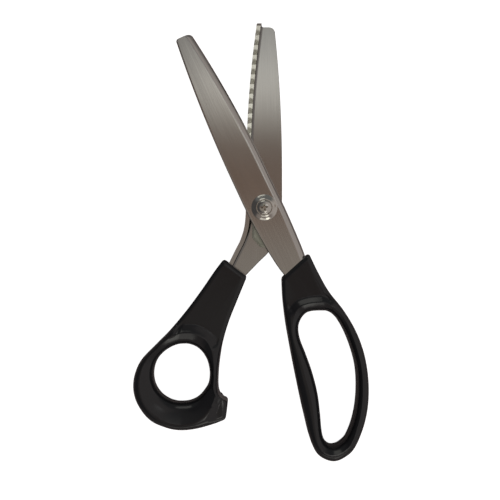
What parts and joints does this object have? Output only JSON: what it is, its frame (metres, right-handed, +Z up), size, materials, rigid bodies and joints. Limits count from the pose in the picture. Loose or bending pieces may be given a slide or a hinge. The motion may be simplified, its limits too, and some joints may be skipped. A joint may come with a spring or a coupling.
{
  "type": "pinking shears",
  "caption": "Pinking shears: two L-section steel blades with meshing zigzag edges, moulded offset handles and an adjustable pivot screw that lets them open and close.",
  "frame": {"origin": "where the pivot screw's axis meets the plane that the shears rest on, which is the nut's outer face", "axes": "+Z up along the pivot axis, +Y along the lower blade towards its tip, +X to the spine side of the lower blade"},
  "size_m": [0.1192, 0.2228, 0.0172],
  "materials": {
    "blade_steel": "ground lengthwise, satin",
    "handle_plastic": "black moulded, glossy",
    "nylon": "milky grey-green nylon, satin",
    "fastener_steel": "nickel plated, polished",
    "spring_steel": "plain spring steel"
  },
  "bodies": {
    "lower": {"lower_blade": "blade_steel", "thumb_handle": "handle_plastic", "spacer_block": "nylon", "pivot_screw": "fastener_steel", "cup_washer": "fastener_steel", "plain_washer": "fastener_steel", "spring_washer": "spring_steel", "pivot_nut": "fastener_steel"},
    "upper": {"upper_blade": "blade_steel", "finger_handle": "handle_plastic"}
  },
  "joints": [
    {"name": "pivot", "type": "hinge", "parent": "lower", "child": "upper", "pos_m": [0, 0, 0.0086], "axis": [0, 0, 1], "range_deg": [-21, 39]}
  ]
}
